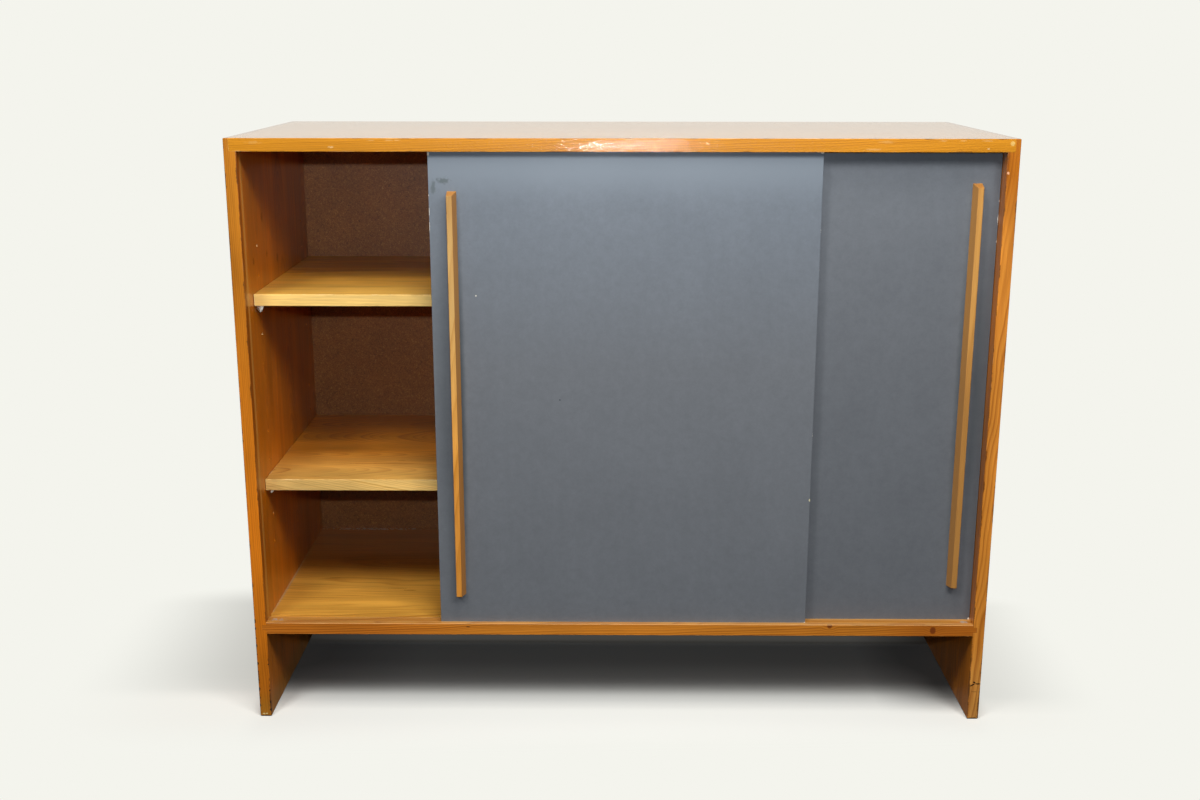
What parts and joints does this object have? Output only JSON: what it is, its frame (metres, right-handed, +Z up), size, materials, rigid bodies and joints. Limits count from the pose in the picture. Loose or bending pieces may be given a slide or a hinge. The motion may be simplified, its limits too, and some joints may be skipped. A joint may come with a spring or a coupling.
{
  "type": "sliding door cabinet",
  "caption": "Low pine cupboard on board legs, with overlapping grey sliding doors, long wooden bar handles, adjustable shelves and a hardboard back.",
  "frame": {"origin": "on the floor, under the middle of the whole cabinet with its handles", "axes": "+X along the width to the right, +Y from the doors to the back, +Z up"},
  "size_m": [1.2, 0.4704, 0.954],
  "materials": {
    "lacquered_pine": "aged orange satin lacquer on solid pine",
    "shelf_pine": "pale satin lacquer on solid pine",
    "handle_wood": "oiled and handled wood",
    "door_paint": "grey satin paint on pressed board",
    "hardboard": "bare brown hardboard",
    "plated_steel": "dull nickel plate",
    "bright_steel": "dull wire",
    "dowel_beech": "bare turned beech"
  },
  "bodies": {
    "cabinet": {"top_panel": "lacquered_pine", "bottom_panel": "lacquered_pine", "left_side_panel": "lacquered_pine", "right_side_panel": "lacquered_pine", "upper_left_shelf": "shelf_pine", "upper_right_shelf": "shelf_pine", "lower_left_shelf": "shelf_pine", "lower_right_shelf": "shelf_pine", "centre_partition": "shelf_pine", "back_panel": "hardboard", "upper_left_shelf_supports": "plated_steel", "upper_right_shelf_supports": "plated_steel", "lower_left_shelf_supports": "plated_steel", "lower_right_shelf_supports": "plated_steel", "back_panel_tacks": "bright_steel", "top_joint_dowels": "dowel_beech"},
    "front_door": {"front_door": "door_paint", "front_door_handle": "handle_wood", "front_handle_screws": "bright_steel"},
    "rear_door": {"rear_door": "door_paint", "rear_door_handle": "handle_wood", "rear_handle_screws": "bright_steel"}
  },
  "joints": [
    {"name": "front_door_slide", "type": "slide", "parent": "cabinet", "child": "front_door", "axis": [1, 0, 0], "range_m": [-0.287, 0.06]},
    {"name": "rear_door_slide", "type": "slide", "parent": "cabinet", "child": "rear_door", "axis": [1, 0, 0], "range_m": [-0.17, 0]}
  ]
}
